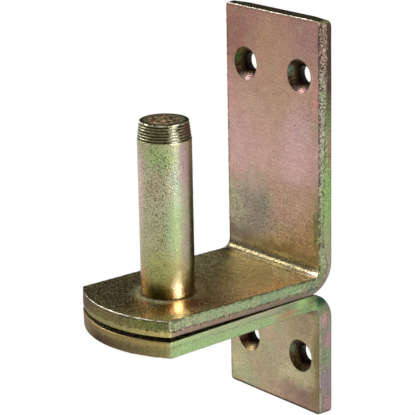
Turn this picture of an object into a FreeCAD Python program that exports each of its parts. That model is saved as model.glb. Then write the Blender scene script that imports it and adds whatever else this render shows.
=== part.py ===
import FreeCAD
import Part
import Sketcher
import math
import os

# A gate hinge pin on a two-bracket wall plate, in millimetres.
# The origin is on the pin's axis at the upper tongue's top face. Z runs up the pin, Y runs from the
# pin to the wall, and X runs across the plates.

# Driving sizes
SIZES = {
    "pin_diameter": 16,
    "pin_height": 52.5,
    "lead_in_height": 5.4,
    "lead_in_taper": 0.65,
    "ring_mark_depth": 0.16,
    "end_rim_width": 2.1,
    "end_recess_depth": 0.25,
    "end_pip_radius": 0.9,
    "shoulder_width": 2,
    "flare_spread": 1.9,
    "flare_height": 2.8,
    "rivet_edge": 0.3,
    "rivet_dome": 0.6,
    "fit_clearance": 0.03,
    "plate_width": 42,
    "plate_thickness": 5,
    "bend_inner_radius": 2.6,
    "bend_outer_radius": 9,
    "standoff": 41.5,
    "nose_reach": 23,
    "nose_radius": 35,
    "nose_corner_radius": 0.5,
    "upper_plate_height": 78.3,
    "lower_plate_height": 39.8,
    "lower_tongue_droop": 1.3,
    "tongue_gap": 0.03,
    "screw_spacing": 24.2,
    "upper_screw_height": 60.5,
    "lower_screw_depth": 22.6,
    "screw_hole_diameter": 5.5,
    "countersink_depth": 2.35,
    "countersink_angle": 90,
    "sheared_edge_radius": 0.4,
    "upper_end_radius": 2.4,
    "lower_end_radius": 1.2,
    "trim_allowance": 3,
}
RING_MARKS = 6

doc = FreeCAD.newDocument("gate_hinge_pin")
sheet = doc.addObject("Spreadsheet::Sheet", "Sizes")
for row, (alias, size) in enumerate(SIZES.items(), 1):
    sheet.set(f"A{row}", alias)
    sheet.set(f"B{row}", str(size))
    sheet.setAlias(f"B{row}", alias)
doc.recompute()

# Sizes worked out from the driving ones
PIN_RADIUS = "(Sizes.pin_diameter / 2)"
SPIGOT_RADIUS = f"({PIN_RADIUS} - Sizes.shoulder_width)"
FLARE_RADIUS = f"({SPIGOT_RADIUS} + Sizes.flare_spread)"
BACK_FACE_Y = "(Sizes.standoff + Sizes.plate_thickness)"
INNER_BEND_Y = "(Sizes.standoff - Sizes.bend_inner_radius)"
OUTER_BEND_Y = f"({BACK_FACE_Y} - Sizes.bend_outer_radius)"
# From the outer bend's centre to the inner face, and on to the inner bend's centre. The strip is
# thinner in the bend where the second is above zero.
INNER_FACE_DEPTH = "(Sizes.bend_outer_radius - Sizes.plate_thickness)"
BEND_THINNING = f"({INNER_FACE_DEPTH} - Sizes.bend_inner_radius)"
BLANK_END_Y = "(-Sizes.nose_reach - Sizes.trim_allowance)"
LEVEL = "(0 deg)"
DROOP = "(Sizes.lower_tongue_droop * 1 deg)"
LOWER_TOP = "(-Sizes.plate_thickness - Sizes.tongue_gap)"
LOWER_BEND_Z = f"({LOWER_TOP} - Sizes.bend_outer_radius)"
LOWER_PLATE_END = f"({LOWER_TOP} - Sizes.lower_plate_height)"
LOWER_SCREW_HEIGHT = f"({LOWER_TOP} - Sizes.lower_screw_depth)"
FLARE_FOOT = (
    f"({LOWER_BEND_Z} + {INNER_FACE_DEPTH} / cos({DROOP})"
    f" - {OUTER_BEND_Y} * tan({DROOP}) - Sizes.rivet_edge)"
)
FLARE_TOP = f"({FLARE_FOOT} + Sizes.flare_height)"

# Sketcher's own numbers for the origin, the two axes and the points of a line or arc
START, END, CENTRE = range(1, 4)
HORIZONTAL_AXIS, VERTICAL_AXIS = range(-1, -3, -1)
ORIGIN = (HORIZONTAL_AXIS, START)
ANTICLOCKWISE, CLOCKWISE = 1, -1

ACROSS = FreeCAD.Vector(1, 0, 0)
UPRIGHT = FreeCAD.Vector(0, 0, 1)
NEAR = 1e-4


def measure(expression):
    """The present value of an expression on the sheet. None stands for zero, and angles are in degrees."""
    if expression is None:
        return 0.0
    found = sheet.evalExpression(expression)
    return float(getattr(found, "Value", found))


def new_body(name):
    body = doc.addObject("PartDesign::Body", name)
    body.Label = name
    return body


def new_sketch(body, name, plane_role):
    """A sketch on one of the body's own origin planes."""
    sketch = body.newObject("Sketcher::SketchObject", name)
    plane = next(part for part in body.Origin.OriginFeatures if part.Role == plane_role)
    sketch.AttachmentSupport = [(plane, "")]
    sketch.MapMode = "FlatFace"
    return sketch


def dimension(sketch, kind, where, expression):
    """A driving dimension of the sketch, bound to the sheet."""
    number = sketch.addConstraint(Sketcher.Constraint(kind, *where, measure(expression)))
    sketch.setExpression(f"Constraints[{number}]", expression)


def locate(sketch, point, across, up):
    """Places a sketch point from the origin. None puts the point on that axis."""
    if across is None:
        sketch.addConstraint(Sketcher.Constraint("PointOnObject", *point, VERTICAL_AXIS))
    else:
        dimension(sketch, "DistanceX", (*ORIGIN, *point), across)
    if up is None:
        sketch.addConstraint(Sketcher.Constraint("PointOnObject", *point, HORIZONTAL_AXIS))
    else:
        dimension(sketch, "DistanceY", (*ORIGIN, *point), up)


def draw_circle(sketch, radius, across=None, up=None):
    centre = FreeCAD.Vector(measure(across), measure(up), 0)
    number = sketch.addGeometry(Part.Circle(centre, UPRIGHT, measure(radius)))
    dimension(sketch, "Radius", (number,), radius)
    locate(sketch, (number, CENTRE), across, up)


def draw_arc(sketch, start, end, radius, turn):
    """The shorter arc between two places. Gives its number and its points at the two places."""
    first, last = (start, end) if turn == ANTICLOCKWISE else (end, start)
    chord = last - first
    inward = FreeCAD.Vector(-chord.y, chord.x, 0).normalize()
    reach = measure(radius)
    centre = (first + last) * 0.5 + inward * math.sqrt(reach ** 2 - chord.Length ** 2 / 4)
    first_angle = math.atan2(first.y - centre.y, first.x - centre.x)
    last_angle = math.atan2(last.y - centre.y, last.x - centre.x)
    if last_angle < first_angle:
        last_angle += 2 * math.pi
    number = sketch.addGeometry(Part.ArcOfCircle(Part.Circle(centre, UPRIGHT, reach), first_angle, last_angle))
    dimension(sketch, "Radius", (number,), radius)
    return (number, START, END) if turn == ANTICLOCKWISE else (number, END, START)


def draw_outline(sketch, corners, arcs):
    """A closed outline through corners given as sizes on the sheet.

    arcs gives the radius and the turn of each side that is an arc, by the number of its first corner.
    """
    places = [FreeCAD.Vector(measure(across), measure(up), 0) for across, up in corners]
    sides = []
    for number, start in enumerate(places):
        end = places[(number + 1) % len(places)]
        if number in arcs:
            sides.append(draw_arc(sketch, start, end, *arcs[number]))
        else:
            sides.append((sketch.addGeometry(Part.LineSegment(start, end)), START, END))
    for number, (side, first, last) in enumerate(sides):
        following, following_first, _ = sides[(number + 1) % len(sides)]
        sketch.addConstraint(Sketcher.Constraint("Coincident", side, last, following, following_first))
        locate(sketch, (side, first), *corners[number])


def add_feature(body, kind, name, sketch):
    """A feature made from a sketch, after what stands before it is worked out."""
    doc.recompute()
    feature = body.newObject(f"PartDesign::{kind}", name)
    feature.Profile = sketch
    doc.recompute()
    return feature


def cut_through(body, name, sketch):
    pocket = add_feature(body, "Pocket", name, sketch)
    pocket.SideType = "Symmetric"
    pocket.Type = "ThroughAll"
    doc.recompute()


def round_edges(body, name, wanted, radius):
    """Rounds every edge of the body that passes a test."""
    base = body.Tip
    picked = [f"Edge{number}" for number, edge in enumerate(base.Shape.Edges, 1) if wanted(edge)]
    fillet = body.newObject("PartDesign::Fillet", name)
    fillet.Base = (base, picked)
    fillet.setExpression("Radius", radius)
    doc.recompute()


def is_line_along(edge, direction):
    if not isinstance(edge.Curve, Part.Line):
        return False
    return edge.Curve.Direction.cross(direction).Length < NEAR


def add_strip(body, way, bend_z, plate_end, droop):
    """The bent strip. way is 1 where the plate goes up from the tongue and -1 where it goes down.

    bend_z is the height of the outer bend's centre.
    """
    inner_bend_z = f"({bend_z} - {way} * {BEND_THINNING} * (1 + sin({droop})) / cos({droop}))"

    def tongue_face(centre_y, centre_z, radius):
        """The tip and the root of a tongue face that runs into a bend."""
        root_y = f"({centre_y} + {way} * {radius} * sin({droop}))"
        root_z = f"({centre_z} - {way} * {radius} * cos({droop}))"
        tip_z = f"({root_z} - ({root_y} - {BLANK_END_Y}) * tan({droop}))"
        return (BLANK_END_Y, tip_z), (root_y, root_z)

    inner_tip, inner_root = tongue_face(INNER_BEND_Y, inner_bend_z, "Sizes.bend_inner_radius")
    outer_tip, outer_root = tongue_face(OUTER_BEND_Y, bend_z, "Sizes.bend_outer_radius")
    corners = [
        inner_tip,
        inner_root,
        ("Sizes.standoff", inner_bend_z),
        ("Sizes.standoff", plate_end),
        (BACK_FACE_Y, plate_end),
        (BACK_FACE_Y, bend_z),
        outer_root,
        outer_tip,
    ]
    towards_plate, towards_tongue = (ANTICLOCKWISE, CLOCKWISE) if way > 0 else (CLOCKWISE, ANTICLOCKWISE)
    bends = {
        corners.index(inner_root): ("Sizes.bend_inner_radius", towards_plate),
        corners.index((BACK_FACE_Y, bend_z)): ("Sizes.bend_outer_radius", towards_tongue),
    }
    sketch = new_sketch(body, f"{body.Name}_side", "YZ_Plane")
    draw_outline(sketch, corners, bends)
    strip = add_feature(body, "Pad", f"{body.Name}_strip", sketch)
    strip.SideType = "Symmetric"
    strip.setExpression("Length", "Sizes.plate_width")
    doc.recompute()


def crop_nose(body):
    """Crops the end of the tongue to the arc of the nose."""
    side_x = "(Sizes.plate_width / 2 + Sizes.trim_allowance)"
    side_y = f"(Sizes.nose_radius - Sizes.nose_reach - sqrt(Sizes.nose_radius ^ 2 - {side_x} ^ 2))"
    front_y = f"({BLANK_END_Y} - Sizes.trim_allowance)"
    corners = [(f"-{side_x}", side_y), (side_x, side_y), (side_x, front_y), (f"-{side_x}", front_y)]
    sketch = new_sketch(body, f"{body.Name}_nose_waste", "XY_Plane")
    draw_outline(sketch, corners, {0: ("Sizes.nose_radius", ANTICLOCKWISE)})
    cut_through(body, f"{body.Name}_nose", sketch)


def pierce_tongue(body):
    """The hole in the tongue that the pin's spigot goes through."""
    sketch = new_sketch(body, f"{body.Name}_spigot_place", "XY_Plane")
    draw_circle(sketch, f"{SPIGOT_RADIUS} + Sizes.fit_clearance")
    cut_through(body, f"{body.Name}_spigot_hole", sketch)


def add_screw_holes(body, height):
    """Two countersunk holes side by side, drilled from the plate's front face."""
    sketch = new_sketch(body, f"{body.Name}_screw_places", "XZ_Plane")
    sketch.setExpression("AttachmentOffset.Base.z", "-Sizes.standoff")
    for side in (-1, 1):
        draw_circle(sketch, "Sizes.screw_hole_diameter / 2", f"{side} * Sizes.screw_spacing / 2", height)
    countersink_spread = "Sizes.countersink_depth * tan(Sizes.countersink_angle * 0.5 deg)"
    hole = add_feature(body, "Hole", f"{body.Name}_screw_holes", sketch)
    hole.DepthType = "ThroughAll"
    hole.HoleCutType = "Countersink"
    hole.HoleCutCustomValues = True
    hole.setExpression("Diameter", "Sizes.screw_hole_diameter")
    hole.setExpression("HoleCutDiameter", f"Sizes.screw_hole_diameter + 2 * {countersink_spread}")
    hole.setExpression("HoleCutCountersinkAngle", "Sizes.countersink_angle * 1 deg")
    doc.recompute()


def soften_edges(body, bend_z, plate_end, droop, end_radius):
    """The soft edges that shearing leaves along the outer face, and the rounder end of the plate."""
    outer = measure("Sizes.bend_outer_radius")
    centre_y = measure(OUTER_BEND_Y)
    centre_z = measure(bend_z)
    end_z = measure(plate_end)
    tip_y = measure(BLANK_END_Y)
    tip_z = centre_z - (centre_y - tip_y) * math.tan(math.radians(measure(droop)))
    # A line through the bend's centre, which the outer face runs round at the outer bend radius
    spine = Part.makePolygon([
        FreeCAD.Vector(0, tip_y, tip_z),
        FreeCAD.Vector(0, centre_y, centre_z),
        FreeCAD.Vector(0, centre_y, end_z),
    ])

    def is_on_outer_face(edge):
        places = [Part.Vertex(0, point.y, point.z) for point in edge.discretize(5)]
        return all(abs(place.distToShape(spine)[0] - outer) < NEAR for place in places)

    def is_nose_corner(edge):
        middle = edge.CenterOfMass
        return is_line_along(edge, UPRIGHT) and middle.y < 0 and abs(middle.x) > measure(PIN_RADIUS)

    def is_plate_end(edge):
        is_at_end = abs(edge.CenterOfMass.z - end_z) < NEAR
        return is_at_end and is_line_along(edge, ACROSS) and is_on_outer_face(edge)

    def is_sheared_outline(edge):
        return is_on_outer_face(edge) and not edge.isClosed() and not is_line_along(edge, ACROSS)

    round_edges(body, f"{body.Name}_nose_corners", is_nose_corner, "Sizes.nose_corner_radius")
    round_edges(body, f"{body.Name}_plate_end", is_plate_end, end_radius)
    round_edges(body, f"{body.Name}_sheared_edges", is_sheared_outline, "Sizes.sheared_edge_radius")


def revolve(body, kind, name, sketch):
    turned = add_feature(body, kind, name, sketch)
    turned.ReferenceAxis = (sketch, ["V_Axis"])
    doc.recompute()


# Upper bracket: the tall plate and the tongue that the pin stands on
upper_shape = (INNER_FACE_DEPTH, "Sizes.upper_plate_height", LEVEL)
upper_bracket = new_body("upper_bracket")
add_strip(upper_bracket, 1, *upper_shape)
crop_nose(upper_bracket)
pierce_tongue(upper_bracket)
add_screw_holes(upper_bracket, "Sizes.upper_screw_height")
soften_edges(upper_bracket, *upper_shape, "Sizes.upper_end_radius")

# Lower bracket: the short plate and the drooping tongue below, countersunk for the spread spigot
lower_shape = (LOWER_BEND_Z, LOWER_PLATE_END, DROOP)
lower_bracket = new_body("lower_bracket")
add_strip(lower_bracket, -1, *lower_shape)
crop_nose(lower_bracket)
pierce_tongue(lower_bracket)
flare_seat = new_sketch(lower_bracket, "flare_seat_side", "XZ_Plane")
flare_clear = f"({FLARE_FOOT} - Sizes.trim_allowance)"
flare_seat_corners = [
    (None, FLARE_TOP),
    (None, flare_clear),
    (FLARE_RADIUS, flare_clear),
    (FLARE_RADIUS, FLARE_FOOT),
    (SPIGOT_RADIUS, FLARE_TOP),
]
draw_outline(flare_seat, flare_seat_corners, {})
revolve(lower_bracket, "Groove", "flare_seat", flare_seat)
add_screw_holes(lower_bracket, LOWER_SCREW_HEIGHT)
soften_edges(lower_bracket, *lower_shape, "Sizes.lower_end_radius")

# Hinge pin: a ringed lead-in on top, a shoulder on the tongue and a spigot spread into the seat below
hinge_pin = new_body("hinge_pin")
rim_radius = f"({PIN_RADIUS} - Sizes.lead_in_taper)"
recess_radius = f"({rim_radius} - Sizes.end_rim_width)"
recess_floor = "(Sizes.pin_height - Sizes.end_recess_depth)"
dome_radius = f"(({FLARE_RADIUS} ^ 2 + Sizes.rivet_dome ^ 2) / (2 * Sizes.rivet_dome))"
half_mark = f"(sqrt(Sizes.lead_in_height ^ 2 + Sizes.lead_in_taper ^ 2) / {2 * RING_MARKS})"
mark_radius = f"(({half_mark} ^ 2 + Sizes.ring_mark_depth ^ 2) / (2 * Sizes.ring_mark_depth))"
pin_corners = [
    (None, f"({FLARE_FOOT} - Sizes.rivet_dome)"),
    (FLARE_RADIUS, FLARE_FOOT),
    (SPIGOT_RADIUS, FLARE_TOP),
    (SPIGOT_RADIUS, None),
    (PIN_RADIUS, None),
]
pin_arcs = {0: (dome_radius, ANTICLOCKWISE)}
for ring in range(RING_MARKS):
    pin_arcs[len(pin_corners)] = (mark_radius, CLOCKWISE)
    ring_radius = f"({PIN_RADIUS} - Sizes.lead_in_taper * {ring} / {RING_MARKS})"
    ring_height = f"(Sizes.pin_height - Sizes.lead_in_height * {RING_MARKS - ring} / {RING_MARKS})"
    pin_corners.append((ring_radius, ring_height))
pin_corners += [
    (rim_radius, "Sizes.pin_height"),
    (recess_radius, "Sizes.pin_height"),
    (f"({recess_radius} - Sizes.end_recess_depth)", recess_floor),
    ("Sizes.end_pip_radius", recess_floor),
    (None, f"({recess_floor} + Sizes.end_recess_depth / 2)"),
]
pin_side = new_sketch(hinge_pin, "pin_side", "XZ_Plane")
draw_outline(pin_side, pin_corners, pin_arcs)
revolve(hinge_pin, "Revolution", "pin_turned", pin_side)

# Checks and files
doc.recompute()
for item in doc.Objects:
    if "Invalid" in item.State or "Error" in item.State:
        raise RuntimeError(f"{item.Label} did not build")
os.makedirs("parts", exist_ok=True)
for body in (upper_bracket, lower_bracket, hinge_pin):
    if body.Shape.isNull() or not body.Shape.isValid():
        raise RuntimeError(f"{body.Label} has no sound shape")
    body.Shape.exportStep(f"parts/{body.Label}.step")
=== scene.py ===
# Gate hinge pin: two bent steel strips and a round pin, zinc plated and yellow passivated.
import math

import bmesh
import bpy
import numpy as np
from mathutils import Matrix, Vector, geometry, noise


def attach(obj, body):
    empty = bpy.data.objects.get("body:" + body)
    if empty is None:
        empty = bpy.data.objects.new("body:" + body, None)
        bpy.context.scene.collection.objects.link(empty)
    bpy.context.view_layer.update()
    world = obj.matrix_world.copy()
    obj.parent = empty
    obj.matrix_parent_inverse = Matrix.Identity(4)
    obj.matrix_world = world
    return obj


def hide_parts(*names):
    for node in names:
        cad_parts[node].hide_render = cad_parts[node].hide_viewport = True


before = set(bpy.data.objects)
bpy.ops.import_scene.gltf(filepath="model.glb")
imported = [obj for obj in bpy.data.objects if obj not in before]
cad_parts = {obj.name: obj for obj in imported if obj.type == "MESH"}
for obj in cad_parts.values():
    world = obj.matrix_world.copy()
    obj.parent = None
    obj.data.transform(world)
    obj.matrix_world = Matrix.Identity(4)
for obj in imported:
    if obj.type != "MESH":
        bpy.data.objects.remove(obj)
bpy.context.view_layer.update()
scene = bpy.context.scene
MM = 0.001

# Driving sizes in millimetres, the same as the solids'
PIN_RADIUS = 8.0
PIN_HEIGHT = 52.5
LEAD_IN_HEIGHT = 5.4
LEAD_IN_TAPER = 0.65
RING_MARKS = 6
RING_MARK_DEPTH = 0.16
END_RIM_WIDTH = 2.1
END_RECESS_DEPTH = 0.25
END_PIP_RADIUS = 0.9
SPIGOT_RADIUS = 6.0
FLARE_RADIUS = 7.9
FLARE_HEIGHT = 2.8
RIVET_EDGE = 0.3
RIVET_DOME = 0.6
FIT_CLEARANCE = 0.03
PLATE_WIDTH = 42.0
THICKNESS = 5.0
BEND_INNER = 2.6
BEND_OUTER = 9.0
STANDOFF = 41.5
NOSE_REACH = 23.0
NOSE_RADIUS = 35.0
UPPER_PLATE_TOP = 78.3
LOWER_PLATE_RUN = 39.8
LOWER_DROOP = math.radians(1.3)
TONGUE_GAP = 0.03
SCREW_SPACING = 24.2
UPPER_SCREW_HEIGHT = 60.5
LOWER_SCREW_DEPTH = 22.6
SCREW_HOLE_RADIUS = 2.75
COUNTERSINK_DEPTH = 2.35
ROLLOVER_RADIUS = 0.4
UPPER_END_RADIUS = 2.4
LOWER_END_RADIUS = 1.2

# Small forms that only the scene has, in millimetres or as shares
NOSE_CORNER_SOFTNESS = 0.22
UPPER_CORNER_SOFTNESS = 0.45
LOWER_CORNER_SOFTNESS = 0.95
UPPER_TEAR = 1.0
LOWER_TEAR = 0.4
CUT_SHARE = 0.36
BURR_RADIUS = 0.22
LIP_WIDTH = 0.35
BEND_SPREAD = 0.45
BEND_NEUTRAL = 0.4
END_ROLL = 1.0
CORNER_ROLL = 7.0
HOLE_RIM = 0.06
LEAD_IN_EDGE = 0.35
WAVE_DEPTH = 0.05
WAVE_LENGTH = 17.0
FLOOR_GAP = 0.05

# Sizes that follow from them
HALF_WIDTH = PLATE_WIDTH / 2
BEND_MIDDLE = BEND_OUTER - THICKNESS / 2
BEND_CENTRE_Y = STANDOFF + THICKNESS - BEND_OUTER
BEND_THINNING = BEND_OUTER - THICKNESS - BEND_INNER
BEFORE_NOSE = -STANDOFF - NOSE_REACH
NOSE_CENTRE_Y = NOSE_RADIUS - NOSE_REACH
NOSE_DEPTH = NOSE_RADIUS - math.sqrt(NOSE_RADIUS ** 2 - HALF_WIDTH ** 2)
UPPER_BEND_Z = BEND_OUTER - THICKNESS
LOWER_TOP = -THICKNESS - TONGUE_GAP
LOWER_BEND_Z = LOWER_TOP - BEND_OUTER
UNDERSIDE_AT_BEND = LOWER_BEND_Z + (BEND_OUTER - THICKNESS) / math.cos(LOWER_DROOP)
RIVET_FOOT = UNDERSIDE_AT_BEND - BEND_CENTRE_Y * math.tan(LOWER_DROOP) - RIVET_EDGE
FLARE_AT_FACE = FLARE_RADIUS - RIVET_EDGE * (FLARE_RADIUS - SPIGOT_RADIUS) / FLARE_HEIGHT
FLOOR_HEIGHT = LOWER_TOP - LOWER_PLATE_RUN
LOWER_SCREW_HEIGHT = LOWER_TOP - LOWER_SCREW_DEPTH
SCREW_MOUTH = SCREW_HOLE_RADIUS + COUNTERSINK_DEPTH
SCREW_CONE_FOOT = THICKNESS - COUNTERSINK_DEPTH
LEAD_IN_FOOT = PIN_HEIGHT - LEAD_IN_HEIGHT
RING_MARKS_HEIGHT = LEAD_IN_HEIGHT - LEAD_IN_EDGE
PIN_END_RADIUS = PIN_RADIUS - LEAD_IN_TAPER
END_RECESS_RADIUS = PIN_END_RADIUS - END_RIM_WIDTH
END_RECESS_FLOOR = PIN_HEIGHT - END_RECESS_DEPTH

# Mesh steps in millimetres, and numbers of rows and points
BAND_STEP = 0.3
OUTLINE_STEP = 0.05
FACE_STEP = 1.2
FACE_MARGIN = 0.38
MERGE_REACH = 1e-6
NOSE_POINTS = 121
BURR_ROWS = 3
ROLL_ROWS = 5
WALL_ROWS = 16
BEND_ROWS = 32
END_ROWS = 6
PIN_ROWS = 100
RING_MARK_ROWS = 8
HOLE_SEGMENTS = 96
PIN_SEGMENTS = 224
GAP_BATCHES = 16
SHARP_ANGLE = math.radians(50.0)

# The edge gap of points that no sheared edge is near
FAR_FROM_EDGE = 1.0

# Which finish a face takes; the pin has only one
INNER_FACE, OUTER_FACE, SHEARED_BAND, HOLE_WALL = range(4)
PIN_SURFACE = 0

# How far patches of colour reach through a face and in from an edge
FACE_REACH = 9.0
EDGE_REACH = 3.0


def smooth(low, high, value):
    """0 below low, 1 above high and an even S between them."""
    share = np.clip((value - low) / (high - low), 0.0, 1.0)
    return share * share * (3.0 - 2.0 * share)


def field(points, size, seed=0.0):
    """Cloudy values from about -1 to 1, with lumps of that size in millimetres."""
    scaled = points / np.asarray(size) + seed
    return np.array([noise.noise(place) for place in scaled.tolist()])


def ring_of(radius, level, segments):
    """A level ring of places round the origin."""
    angle = np.linspace(0.0, 2.0 * math.pi, segments, endpoint=False)
    return np.column_stack((radius * np.cos(angle), radius * np.sin(angle), np.full(segments, level)))


def add_object(name, content):
    """A new object in the scene."""
    added = bpy.data.objects.new(name, content)
    scene.collection.objects.link(added)
    return added


def on_face(place, reach):
    """A patch on a strip's inner face, from its places along and across."""
    return (*place, THICKNESS), (*reach, FACE_REACH)


def on_edge(place, reach):
    """A patch on the sheared edge at a strip's right-hand side, from its places along and down."""
    along, depth = place
    return (along, HALF_WIDTH, depth), (reach[0], EDGE_REACH, reach[1])


class Strip:
    """One bent strip, worked flat: along it from its bend, across it, and down from its outer face."""

    def __init__(self, way, bend_z, plate_end, droop, end_radius, corner, tear):
        self.way = way
        self.bend_z = bend_z
        self.droop = droop
        self.end_radius = end_radius
        self.corner = corner
        self.tear = tear
        self.torn_end = round(tear)
        self.turn = math.pi / 2 + droop
        self.bend_length = BEND_MIDDLE * self.turn
        self.end = self.plate_along(plate_end)
        self.nose = self.tongue_along(-NOSE_REACH)
        self.nose_side = self.nose + NOSE_DEPTH

    def tongue_along(self, y):
        """How far along the strip a place on the tongue is."""
        return (y + BEND_MIDDLE * math.sin(self.droop) - BEND_CENTRE_Y) / math.cos(self.droop)

    def nose_along(self, across):
        """How far along the strip its nose is at a place across it."""
        return self.tongue_along(NOSE_CENTRE_Y - np.sqrt(NOSE_RADIUS ** 2 - across ** 2))

    def plate_along(self, z):
        """How far along the strip a height on the plate is."""
        return self.bend_length + self.way * (z - self.bend_z)

    def on_plate(self, place, reach):
        """A patch on the plate's front, from its height and its place across."""
        return on_face((self.plate_along(place[0]), place[1]), reach)

    def on_tongue(self, place, reach):
        """A patch on the tongue's inner face, from its y and its place across."""
        return on_face((self.tongue_along(place[0]), place[1]), reach)

    def on_nose(self, place, reach):
        """A patch on the sheared edge round the nose, from its places across and down."""
        return (self.nose_along(place[0]), *place), reach

    def to_space(self, points):
        """Bends flat places into the row frame, in metres. Side places are worked as y + z * 1j."""
        along, across, depth = points.T
        share = np.clip(along / self.bend_length, 0.0, 1.0)
        inwards = depth / THICKNESS
        tongue_way = -np.exp(1j * self.droop)
        plate_way = 1j * self.way
        straight = BEND_THINNING * math.tan(self.turn / 2)
        inner_arc = BEND_INNER * self.turn
        run = share * (inner_arc + 2.0 * straight)
        arc_share = np.clip((run - straight) / inner_arc, 0.0, 1.0)
        outer = BEND_OUTER * np.exp(-1j * self.way * self.turn * (1.0 - share))
        inner = BEND_THINNING - straight * plate_way
        inner = inner + BEND_INNER * np.exp(-1j * self.way * self.turn * (1.0 - arc_share))
        inner = inner + np.clip(straight - run, 0.0, None) * tongue_way
        inner = inner + np.clip(run - straight - inner_arc, 0.0, None) * plate_way
        spot = outer + (inner - outer) * inwards
        spot = spot + np.clip(-along, 0.0, None) * tongue_way
        spot = spot + np.clip(along - self.bend_length, 0.0, None) * plate_way
        squeezed = np.sin(math.pi * share) ** 2 * (inwards - BEND_NEUTRAL) * (2.0 * across / PLATE_WIDTH) ** 7
        x = across + BEND_SPREAD * squeezed
        return np.column_stack((x, BEND_CENTRE_Y + spot.real, self.bend_z + spot.imag)) * MM


upper_strip = Strip(
    way=1,
    bend_z=UPPER_BEND_Z,
    plate_end=UPPER_PLATE_TOP,
    droop=0.0,
    end_radius=UPPER_END_RADIUS,
    corner=UPPER_CORNER_SOFTNESS,
    tear=UPPER_TEAR,
)
lower_strip = Strip(
    way=-1,
    bend_z=LOWER_BEND_Z,
    plate_end=FLOOR_HEIGHT,
    droop=LOWER_DROOP,
    end_radius=LOWER_END_RADIUS,
    corner=LOWER_CORNER_SOFTNESS,
    tear=LOWER_TEAR,
)


class Skin:
    """Collects the points and faces of one closed mesh."""

    def __init__(self):
        self.points = np.empty((0, 3))
        self.gaps = np.empty(0)
        self.faces = []
        self.finishes = []

    def add(self, points, gap=FAR_FROM_EDGE):
        """Adds points with their distance from the nearest edge, and returns their numbers."""
        first = len(self.points)
        self.points = np.vstack((self.points, points))
        self.gaps = np.concatenate((self.gaps, np.broadcast_to(gap, len(points))))
        return np.arange(first, len(self.points))

    def fill(self, faces, finish):
        """Adds faces by the numbers of their points."""
        self.faces += faces.tolist()
        self.finishes += [finish] * len(faces)

    def join(self, rows, finish):
        """Fills between closed rows of the same length."""
        for row, next_row in zip(rows[:-1], rows[1:]):
            corners = (row, np.roll(row, -1), np.roll(next_row, -1), next_row)
            self.fill(np.column_stack(corners), finish)

    def cap(self, row, tip, finish):
        """Closes a row with triangles to one point."""
        self.fill(np.column_stack((row, np.roll(row, -1), np.full(len(row), tip))), finish)

    def clear_of(self, holes, places):
        """Which flat places lie outside the round holes."""
        clear = np.full(len(places), True)
        for hole in holes:
            rim = self.points[hole, :2]
            centre = rim.mean(axis=0)
            clear &= np.linalg.norm(places - centre, axis=1) > np.linalg.norm(rim[0] - centre)
        return clear

    def cover(self, loops, inside, finish):
        """Covers the flat area between the first loop and the other loops, which are holes in it."""
        numbers = np.concatenate(loops + [inside])
        edges = []
        first = 0
        for loop in loops:
            edges += [(first + step, first + (step + 1) % len(loop)) for step in range(len(loop))]
            first += len(loop)
        flat = [Vector(place) for place in self.points[numbers, :2].tolist()]
        inside_loops = 1
        filled = geometry.delaunay_2d_cdt(flat, edges, [], inside_loops, MERGE_REACH)
        _, _, faces, sources, _, _ = filled
        triangles = numbers[np.array([[sources[corner][0] for corner in face] for face in faces])]
        kept = self.clear_of(loops[1:], self.points[triangles, :2].mean(axis=1))
        self.fill(triangles[kept], finish)

    def to_object(self, name, to_space, materials):
        """Makes the object, smooth except at its sharp edges."""
        mesh = bpy.data.meshes.new(name)
        mesh.from_pydata(to_space(self.points).tolist(), [], self.faces)
        mesh.polygons.foreach_set("material_index", self.finishes)
        place = mesh.attributes.new("flat_place", "FLOAT_VECTOR", "POINT")
        place.data.foreach_set("vector", self.points.ravel())
        gap = mesh.attributes.new("edge_gap", "FLOAT", "POINT")
        gap.data.foreach_set("value", self.gaps)
        for material in materials:
            mesh.materials.append(material)
        turned = bmesh.new()
        turned.from_mesh(mesh)
        bmesh.ops.recalc_face_normals(turned, faces=turned.faces)
        turned.to_mesh(mesh)
        turned.free()
        mesh.shade_smooth()
        mesh.set_sharp_from_angle(angle=SHARP_ANGLE)
        return add_object(name, mesh)


# Outline of a blank, and the sheared edge that runs round it
def spaced_evenly(loop, step):
    """The same closed loop with evenly spaced points."""
    closed = np.vstack((loop, loop[:1]))
    run = np.concatenate(([0.0], np.cumsum(np.linalg.norm(np.diff(closed, axis=0), axis=1))))
    marks = np.linspace(0.0, run[-1], round(run[-1] / step), endpoint=False)
    return np.column_stack([np.interp(marks, run, column) for column in closed.T])


def softened(loop, reach):
    """Rounds the corners of an evenly spaced closed loop by a bell-shaped average."""
    waves = np.fft.fftfreq(len(loop), OUTLINE_STEP)
    kept = np.exp(-2.0 * (math.pi * waves * reach) ** 2)
    return np.fft.ifft(np.fft.fft(loop, axis=0) * kept[:, None], axis=0).real


def outline_of(strip):
    """The outline of the blank and the way inwards at each of its points."""
    across = np.linspace(-HALF_WIDTH, HALF_WIDTH, NOSE_POINTS)
    corners = np.array(((strip.end, HALF_WIDTH), (strip.end, -HALF_WIDTH)))
    loop = np.vstack((np.column_stack((strip.nose_along(across), across)), corners))
    loop = spaced_evenly(loop, OUTLINE_STEP)
    at_end = smooth(0.0, strip.bend_length, loop[:, :1])
    nose_soft = softened(loop, NOSE_CORNER_SOFTNESS)
    loop = nose_soft + (softened(loop, strip.corner) - nose_soft) * at_end
    loop = spaced_evenly(loop, BAND_STEP)
    tangent = np.roll(loop, -1, axis=0) - np.roll(loop, 1, axis=0)
    tangent /= np.linalg.norm(tangent, axis=1)[:, None]
    inward = np.column_stack((tangent[:, 1], -tangent[:, 0]))
    return loop, inward


def row_at(loop, inward, inset, depth):
    """One row of flat places round the outline."""
    flat = loop + inward * np.broadcast_to(inset, len(loop))[:, None]
    return np.column_stack((flat, np.broadcast_to(depth, len(loop))))


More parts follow.
